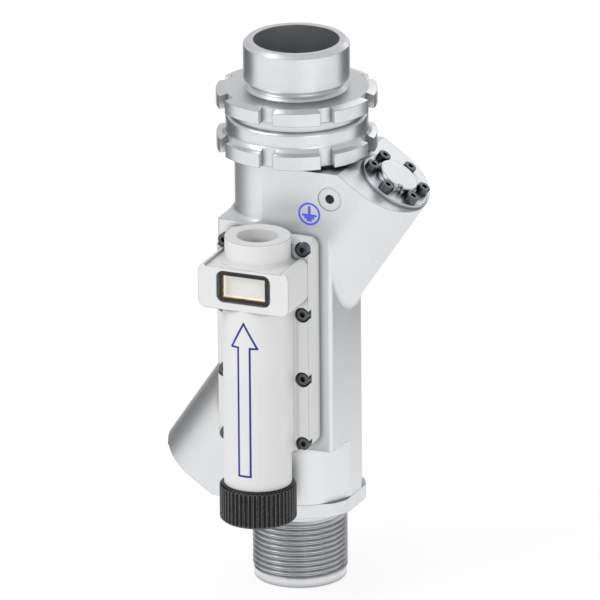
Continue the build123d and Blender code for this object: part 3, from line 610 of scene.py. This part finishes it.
def lathe_piece(name, rings, angles, finish, placing=Matrix(), hollow=True):
    """A closed mesh of rings. Each ring gives (level, radius) at an angle, all in millimetres.

    A hollow piece joins its last ring to its first, and a full one gets a cap at each end.
    """
    mesh = bmesh.new()
    grid = []
    for ring in rings:
        row = []
        for angle in angles:
            level, radius = ring(angle)
            row.append(mesh.verts.new((
                radius * math.cos(angle) * MM, radius * math.sin(angle) * MM, level * MM,
            )))
        grid.append(row)
    if hollow:
        grid.append(grid[0])
    else:
        mesh.faces.new(grid[0][::-1])
        mesh.faces.new(grid[-1])
    for below, above in zip(grid, grid[1:]):
        for i in range(len(angles)):
            j = (i + 1) % len(angles)
            mesh.faces.new((below[i], below[j], above[j], above[i]))
    bmesh.ops.recalc_face_normals(mesh, faces=mesh.faces)
    mesh.transform(placing)
    data = bpy.data.meshes.new(name)
    mesh.to_mesh(data)
    mesh.free()
    data.materials.append(finish)
    for face in data.polygons:
        face.use_smooth = True
    data.set_sharp_from_angle(angle=SHARP_ANGLE)
    piece = bpy.data.objects.new(name, data)
    bpy.context.scene.collection.objects.link(piece)
    print(name, len(data.polygons), "faces")
    return piece


def thread_height(level, angle, pitch):
    """0 at the root and 1 at the crest of a 60 degree thread with flat crests and roots."""
    turn = (level / pitch - angle / (2 * math.pi)) % 1.0
    across = abs(2 * turn - 1)
    return min(1.0, max(0.0, (across - ROOT_FLAT) / (1 - ROOT_FLAT - CREST_FLAT)))


print("thread height at the crest", thread_height(0.0, 0.0, 3.0))
print("thread height at the root", thread_height(1.5, 0.0, 3.0))

# %% [markdown]
# The nipple has an M52 x 3 inlet thread and a hexagon flange for the spanner. Its rings run from
# the chamfered bore round the end face, up the thread, past the relief groove where the cutting
# tool ran out, over the flange, up the joint into the body, and back down the bore. The flange is
# the same lathe with a radius that follows six flats, cut round at the corners.

# %% Threaded nipple
# Radii and levels in millimetres, from the end face up.
NIPPLE_BORE, BORE_CHAMFER = 20.0, 0.4
LEAD_IN_RADIUS = 25.4
END_ROUND = 1.0
QUARTER_ROUND = ((0.0, 1.0), (0.13, 0.5), (0.5, 0.13), (1.0, 0.0))
THREAD_RADIUS = 26.0
THREAD_ROOT = 24.35
THREAD_PITCH = 3.0
THREAD_START, THREAD_END = 5.1, 38.0
THREAD_ROWS = 176
THREAD_SEAM = 0.02
RUN_OUT = 0.6
RELIEF_RADIUS, RELIEF_STEP = 24.2, 0.3
FLANGE_BOTTOM, FLANGE_TOP = 43.3, 51.4
FLAT_RADIUS, CORNER_RADIUS = 33.4, 36.15
FLANGE_CHAMFER, CHAMFER_SLOPE = 0.7, 0.5
JOINT_RADIUS, JOINT_TOP = 27.0, 71.4
COLUMNS = 144

columns = [2 * math.pi * i / COLUMNS for i in range(COLUMNS)]


def flange_radius(angle):
    """Six flats, with the corners turned round."""
    from_flat = (angle + math.pi / 6) % (math.pi / 3) - math.pi / 6
    return min(FLAT_RADIUS / math.cos(from_flat), CORNER_RADIUS)


def level_ring(level, radius):
    """A plain round ring."""
    return lambda angle: (level, radius)


def threaded_ring(level):
    """A ring that follows the thread, which fades out at both ends over RUN_OUT."""
    ramp = min(1.0, (level - THREAD_START) / RUN_OUT, (THREAD_END - level) / RUN_OUT)
    def ring(angle):
        height = thread_height(level, angle, THREAD_PITCH)
        crest = THREAD_ROOT + (THREAD_RADIUS - THREAD_ROOT) * height
        start = LEAD_IN_RADIUS if level < (THREAD_START + THREAD_END) / 2 else RELIEF_RADIUS
        return level, start + (crest - start) * max(0.0, ramp)
    return ring


nipple_rings = [level_ring(0.0, NIPPLE_BORE + BORE_CHAMFER)]
nipple_rings += [
    level_ring(END_ROUND * up, LEAD_IN_RADIUS - END_ROUND * inward) for up, inward in QUARTER_ROUND
]
nipple_rings.append(level_ring(THREAD_START - THREAD_SEAM, LEAD_IN_RADIUS))
nipple_rings += [
    threaded_ring(THREAD_START + (THREAD_END - THREAD_START) * k / THREAD_ROWS)
    for k in range(THREAD_ROWS + 1)
]
nipple_rings += [
    level_ring(THREAD_END + RELIEF_STEP, RELIEF_RADIUS),
    level_ring(FLANGE_BOTTOM, RELIEF_RADIUS),
    level_ring(FLANGE_BOTTOM, FLAT_RADIUS - FLANGE_CHAMFER),
    lambda angle: (FLANGE_BOTTOM, min(flange_radius(angle), CORNER_RADIUS - 2 * FLANGE_CHAMFER)),
    lambda angle: (
        FLANGE_BOTTOM
        + max(0.0, flange_radius(angle) - CORNER_RADIUS + 2 * FLANGE_CHAMFER) * CHAMFER_SLOPE,
        flange_radius(angle),
    ),
    lambda angle: (FLANGE_TOP, flange_radius(angle)),
]
nipple_rings += [level_ring(z, r) for z, r in (
    (FLANGE_TOP, JOINT_RADIUS), (JOINT_TOP, JOINT_RADIUS),
    (JOINT_TOP, NIPPLE_BORE), (BORE_CHAMFER, NIPPLE_BORE),
)]
nipple = lathe_piece("threaded_nipple", nipple_rings, columns, fitting_finish)
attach(nipple, "root")
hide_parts("inlet_nipple")

# %% [markdown]
# The end cap screws on a fine thread at the foot of the battery tube, hidden until the cap comes
# off. The same lathe makes it, as a thin sleeve of thread round the plain CAD tube.

# %% Tube thread
TUBE_CENTRE = (0.0, -58.4)
TUBE_THREAD_ROOT, TUBE_THREAD_RADIUS, TUBE_THREAD_PITCH = 17.45, 17.72, 1.5
TUBE_THREAD_START, TUBE_THREAD_END = 65.4, 70.0
TUBE_THREAD_ROWS = 44
SLEEVE_DEPTH = 0.3
SLEEVE_SHARE = 0.2


def tube_thread_ring(level):
    """A ring of the sleeve, which stands off the tube a little even at the thread's root."""
    ramp = min(1.0, (level - TUBE_THREAD_START) / RUN_OUT, (TUBE_THREAD_END - level) / RUN_OUT)
    def ring(angle):
        height = thread_height(level, angle, TUBE_THREAD_PITCH) * max(0.0, ramp)
        share = SLEEVE_SHARE + (1 - SLEEVE_SHARE) * height
        return level, TUBE_THREAD_ROOT + (TUBE_THREAD_RADIUS - TUBE_THREAD_ROOT) * share
    return ring


tube_rings = [level_ring(TUBE_THREAD_START, TUBE_THREAD_ROOT - SLEEVE_DEPTH)]
tube_rings += [
    tube_thread_ring(TUBE_THREAD_START + (TUBE_THREAD_END - TUBE_THREAD_START) * k / TUBE_THREAD_ROWS)
    for k in range(TUBE_THREAD_ROWS + 1)
]
tube_rings += [level_ring(TUBE_THREAD_END, TUBE_THREAD_ROOT - SLEEVE_DEPTH)]
tube_thread = lathe_piece(
    "tube_thread", tube_rings, columns[::2], fitting_finish,
    Matrix.Translation(Vector((*TUBE_CENTRE, 0)) * MM),
)
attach(tube_thread, "root")

# %% [markdown]
# Each transducer cover carries a raised round pad that is as high as the screw heads, with a key
# slot in its rim for a pin wrench. The CAD cover has the low, lobed step under it. The pad is one
# more turn on the lathe helper: a full disc whose radius drops where the slot is, with a rounded
# upper edge, tipped into the plane of the boss by a matrix. A last ring just inside the rounded
# edge keeps the smooth shading of the edge off the flat top, which would look domed without it.

# %% Cover pads
# Millimetres, with the heights measured from the face of the boss.
PAD_RADIUS, PAD_EDGE = 11.6, 0.7
FLAT_MARGIN = 0.15
PAD_FOOT, PAD_TOP = 2.4, 6.4
SEAL_BELOW_FACE = 2.8
KEY_ANGLE = math.radians(-60)
KEY_HALF_WIDTH, KEY_DEPTH = 1.1, 2.0
EDGE_STEPS = 4


def pad_ring(level, inset):
    """The rim of the pad, moved in by the inset of its rounded edge."""
    def ring(angle):
        from_key = (angle - KEY_ANGLE + math.pi) % (2 * math.pi) - math.pi
        in_slot = abs(from_key) * PAD_RADIUS < KEY_HALF_WIDTH + inset
        return level, PAD_RADIUS - inset - (KEY_DEPTH if in_slot else 0.0)
    return ring


pad_rings = [pad_ring(PAD_FOOT, 0.0)]
for step in range(EDGE_STEPS + 1):
    turn = math.pi / 2 * step / EDGE_STEPS
    level = PAD_TOP - PAD_EDGE * (1 - math.sin(turn))
    pad_rings.append(pad_ring(level, PAD_EDGE * (1 - math.cos(turn))))
pad_rings.append(pad_ring(PAD_TOP, PAD_EDGE + FLAT_MARGIN))
for end, half_turn in (("upper", 0.0), ("lower", math.pi)):
    placing = (
        Matrix.Translation(seal_centre[end]) @ Matrix.Rotation(BOSS_TILT + half_turn, 4, "Y")
        @ Matrix.Translation((0, 0, SEAL_BELOW_FACE * MM))
    )
    pad = lathe_piece(
        f"{end}_cover_pad", pad_rings, columns, cover_finish[end],
        placing, hollow=False,
    )
    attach(pad, "root")

# %% [markdown]
# Two marks are printed on the sensor. The protective earth symbol, a ring with a stem and three
# bars, stands beside the earth point. A long outlined arrow on the tube shows which way the
# liquid flows. Ink has almost no height, so a mark is a closed slab that stands 0.06 mm above the
# surface and sinks a little into it. A decal image would need a picture file, and these strokes
# are only a few quads. They are drawn flat, cut into cells, raised together and only then laid on
# the surface, so that they can also follow a round one.

# %% Printed mark helper
INK_HEIGHT = 0.06
INK_SINK = 0.03
WELD_DISTANCE = 0.001


def printed_mark(name, strokes, place, colour):
    """Each stroke is a quad in millimetres and its number of cells; place(u, v, h) lays it on."""
    mesh = bmesh.new()
    for corners, cells in strokes:
        for k in range(cells):
            lower = [corners[0].lerp(corners[1], t) for t in (k / cells, (k + 1) / cells)]
            upper = [corners[3].lerp(corners[2], t) for t in (k / cells, (k + 1) / cells)]
            outline = (lower[0], lower[1], upper[1], upper[0])
            mesh.faces.new([mesh.verts.new((p.x, p.y, -INK_SINK)) for p in outline])
    bmesh.ops.remove_doubles(mesh, verts=mesh.verts, dist=WELD_DISTANCE)
    raised = bmesh.ops.extrude_face_region(mesh, geom=mesh.faces[:])["geom"]
    for vert in raised:
        if isinstance(vert, bmesh.types.BMVert):
            vert.co.z = INK_HEIGHT
    for vert in mesh.verts:
        vert.co = place(*vert.co)
    bmesh.ops.recalc_face_normals(mesh, faces=mesh.faces)
    data = bpy.data.meshes.new(name)
    mesh.to_mesh(data)
    mesh.free()
    data.materials.append(colour)
    mark = bpy.data.objects.new(name, data)
    bpy.context.scene.collection.objects.link(mark)
    print(name, len(data.polygons), "faces")
    return mark


def bar(x0, y0, x1, y1, width, cells=1):
    """A straight stroke between two points."""
    start, end = Vector((x0, y0)), Vector((x1, y1))
    side = (end - start).orthogonal().normalized() * width / 2
    return (start - side, end - side, end + side, start + side), cells


def ink(name, colour, second):
    """Marking ink: satin, with hardly any grain."""
    return plain_finish(name, colour, second, metallic=0.0, roughness=0.5, grain_mm=0.9, relief_mm=0.01)


print("ink stands", INK_HEIGHT, "mm above the surface")

# %% [markdown]
# The ring of the earth symbol is made of short straight pieces that share their ends, and the
# stem and the bars are single strokes. All are placed from the middle of the ring, beside the
# tapped hole on the front face of the body.

# %% Earth mark
EARTH_X, EARTH_LEVEL, FRONT_FACE = 20.9, 221.6, -33.4
RING_RADIUS, RING_WIDTH, RING_STEPS = 5.9, 1.05, 64
STEM_TOP, STEM_FOOT, STEM_WIDTH = 4.4, -0.2, 1.4
# The level and half the length of each bar, from the middle of the ring.
EARTH_BARS = ((-0.8, 4.2), (-2.2, 2.9), (-3.6, 1.5))
BAR_WIDTH = 1.25

earth_strokes = []
for step in range(RING_STEPS):
    arc = [2 * math.pi * (step + d) / RING_STEPS for d in (0, 1)]
    inner, outer = RING_RADIUS - RING_WIDTH / 2, RING_RADIUS + RING_WIDTH / 2
    points = [Vector((r * math.cos(a), r * math.sin(a))) for r, a in (
        (inner, arc[0]), (inner, arc[1]), (outer, arc[1]), (outer, arc[0]),
    )]
    earth_strokes.append((points, 1))
earth_strokes.append(bar(0, STEM_TOP, 0, STEM_FOOT, STEM_WIDTH))
for level, half_length in EARTH_BARS:
    earth_strokes.append(bar(-half_length, level, half_length, level, BAR_WIDTH))
earth_mark = printed_mark(
    "earth_mark", earth_strokes,
    lambda u, v, h: ((EARTH_X + u) * MM, (FRONT_FACE - h) * MM, (EARTH_LEVEL + v) * MM),
    ink("blue_marking_ink", "#5B64FF", "#4E58F2"),
)
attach(earth_mark, "root")

# %% [markdown]
# The arrow is one closed outline, drawn stroke by stroke. Each stroke reaches half its width past
# its ends, so that the corners are filled. A stroke that runs round the tube is cut into cells
# about a millimetre long, and so bends with the tube.

# %% Flow arrow
TUBE_RADIUS = 18.5
ARROW_BOTTOM, ARROW_TOP = 82.0, 170.0
SHAFT_HALF, HEAD_HALF, HEAD_LENGTH, STROKE = 3.4, 7.6, 14.0, 1.1
FEWEST_CELLS = 2

neck_level = ARROW_TOP - HEAD_LENGTH
arrow_points = [
    (-SHAFT_HALF, ARROW_BOTTOM), (SHAFT_HALF, ARROW_BOTTOM), (SHAFT_HALF, neck_level),
    (HEAD_HALF, neck_level), (0, ARROW_TOP), (-HEAD_HALF, neck_level), (-SHAFT_HALF, neck_level),
]
arrow_strokes = []
for (x0, z0), (x1, z1) in zip(arrow_points, arrow_points[1:] + arrow_points[:1]):
    length = math.hypot(x1 - x0, z1 - z0)
    reach = STROKE / 2 / length
    arrow_strokes.append(bar(
        x0 - (x1 - x0) * reach, z0 - (z1 - z0) * reach,
        x1 + (x1 - x0) * reach, z1 + (z1 - z0) * reach,
        STROKE, max(FEWEST_CELLS, round(abs(x1 - x0))),
    ))


def on_tube(u, v, h):
    """u millimetres round the tube from its front, v up it, h above it."""
    turn = u / TUBE_RADIUS
    radius = TUBE_RADIUS + h
    return (
        (TUBE_CENTRE[0] + radius * math.sin(turn)) * MM,
        (TUBE_CENTRE[1] - radius * math.cos(turn)) * MM,
        v * MM,
    )


flow_arrow = printed_mark(
    "flow_arrow", arrow_strokes, on_tube, ink("dark_blue_marking_ink", "#2B2B9E", "#25258C")
)
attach(flow_arrow, "root")

# %% [markdown]
# The sensor stands in a white studio. The floor catches a soft shadow, so it is a real surface;
# most of what the camera sees of it is a plain white glow, and the rest is lit paint that goes
# darker in the shadow. Reflections see the same white. A sweep of paper would do this in a
# photograph.

# %% Floor
FLOOR_HALF = 6.0
FLOOR_LEVEL = -0.2 * MM
PLAIN_WHITE_SHARE = 0.7
PAPER_GLOW = 1.13
floor_mesh = bpy.data.meshes.new("floor")
floor_mesh.from_pydata(
    [
        (x * FLOOR_HALF, y * FLOOR_HALF, FLOOR_LEVEL)
        for x, y in ((-1, -1), (1, -1), (1, 1), (-1, 1))
    ],
    [], [(0, 1, 2, 3)],
)
floor = bpy.data.objects.new("floor", floor_mesh)
bpy.context.scene.collection.objects.link(floor)
paper = bpy.data.materials.new("white_paper")
paper.use_nodes = True
tree = paper.node_tree
tree.nodes.clear()
path = add_node(tree, "ShaderNodeLightPath")
seen = add_node(tree, "ShaderNodeMath", {
    0: path.outputs["Is Camera Ray"], 1: path.outputs["Is Glossy Ray"],
}, operation="MAXIMUM")
seen = add_node(tree, "ShaderNodeMath", {
    0: seen.outputs["Value"], 1: path.outputs["Is Transmission Ray"],
}, operation="MAXIMUM")
share = add_node(tree, "ShaderNodeMath", {
    0: seen.outputs["Value"], 1: PLAIN_WHITE_SHARE,
}, operation="MULTIPLY")
lit = add_node(tree, "ShaderNodeBsdfDiffuse", {"Color": linear("#F4F4F4")})
glow = add_node(tree, "ShaderNodeEmission", {"Color": (1, 1, 1, 1), "Strength": PAPER_GLOW})
mixed = add_node(tree, "ShaderNodeMixShader", {
    0: share.outputs["Value"], 1: lit.outputs["BSDF"], 2: glow.outputs["Emission"],
})
add_node(tree, "ShaderNodeOutputMaterial", {"Surface": mixed.outputs["Shader"]})
floor_mesh.materials.append(paper)
floor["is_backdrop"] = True
print("floor at", FLOOR_LEVEL, "m,", 2 * FLOOR_HALF, "m wide")

# %% [markdown]
# Polished or satin metal shows what stands round it, so the lamps are large soft panels: a key
# from the upper left, a weaker fill from the right, and one from behind to draw the rims.

# %% Lamps
# The place and width of each in metres, and its power in watts.
LAMPS = {
    "key_panel": ((-1.3, -1.5, 1.9), 1.2, 20.0),
    "fill_panel": ((1.9, -1.6, 0.5), 1.4, 7.0),
    "rim_panel": ((0.1, 2.1, 1.3), 1.3, 4.2),
}
for name, (place, size, power) in LAMPS.items():
    lamp_data = bpy.data.lights.new(name, "AREA")
    lamp_data.size = size
    lamp_data.energy = power
    lamp = bpy.data.objects.new(name, lamp_data)
    lamp.location = place
    lamp.rotation_mode = "QUATERNION"
    lamp.rotation_quaternion = (Vector(place) - target).to_track_quat("Z", "Y")
    bpy.context.scene.collection.objects.link(lamp)
print("lamps", list(LAMPS))

# %% [markdown]
# Pale metal on white paper loses its outline. Photographers stand a dark card on each side, just
# out of the picture, so that the round sides mirror it and darken towards their edges. Only
# reflections see the two cards here, so they throw no shadow on the paper. They are about as high
# as the sensor, so the slanting face of the upper boss still mirrors the bright sky above them.

# %% Grey cards
# How far each end of a card stands to the side of the sensor and behind it, in metres.
CARD_ENDS = ((0.22, 0.44), (0.44, 0.10))
CARD_HEIGHT = 0.32

forward = Vector((-right.y, right.x, 0))
rise = Vector((0, 0, CARD_HEIGHT))
card_grey = bpy.data.materials.new("grey_card")
card_grey.use_nodes = True
card_grey.node_tree.nodes["Principled BSDF"].inputs["Base Color"].default_value = linear("#5E6062")
for side in (-1, 1):
    far_foot, near_foot = (right * side * apart + forward * behind for apart, behind in CARD_ENDS)
    corners = [far_foot, near_foot, near_foot + rise, far_foot + rise]
    card_mesh = bpy.data.meshes.new(f"grey_card_{side}")
    card_mesh.from_pydata(corners, [], [(0, 1, 2, 3)])
    card_mesh.materials.append(card_grey)
    card = bpy.data.objects.new(card_mesh.name, card_mesh)
    bpy.context.scene.collection.objects.link(card)
    card.visible_camera = card.visible_diffuse = card.visible_shadow = False
    card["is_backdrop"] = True
print("cards", CARD_HEIGHT, "m high")

# %% [markdown]
# The sky is plain white where the camera looks at it, also through glass, and weaker as a light
# and in reflections, so that the pale metal and the paint keep their tones.

# %% Sky
SKY_LIGHT = 0.66
world = bpy.data.worlds.new("studio")
bpy.context.scene.world = world
world.use_nodes = True
tree = world.node_tree
tree.nodes.clear()
path = add_node(tree, "ShaderNodeLightPath")
seen = add_node(tree, "ShaderNodeMath", {
    0: path.outputs["Is Camera Ray"], 1: path.outputs["Is Transmission Ray"],
}, operation="MAXIMUM")
strength = add_node(tree, "ShaderNodeMapRange", {
    "Value": seen.outputs["Value"], "To Min": SKY_LIGHT, "To Max": 1.0,
})
sky = add_node(tree, "ShaderNodeBackground", {
    "Color": (1, 1, 1, 1), "Strength": strength.outputs["Result"],
})
add_node(tree, "ShaderNodeOutputWorld", {"Surface": sky.outputs["Background"]})
bpy.context.scene.view_settings.view_transform = "Standard"
print("sky", SKY_LIGHT, "as light")

# %% Sizes
low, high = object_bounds()
print("visual box", [round(v, 4) for v in low], [round(v, 4) for v in high])
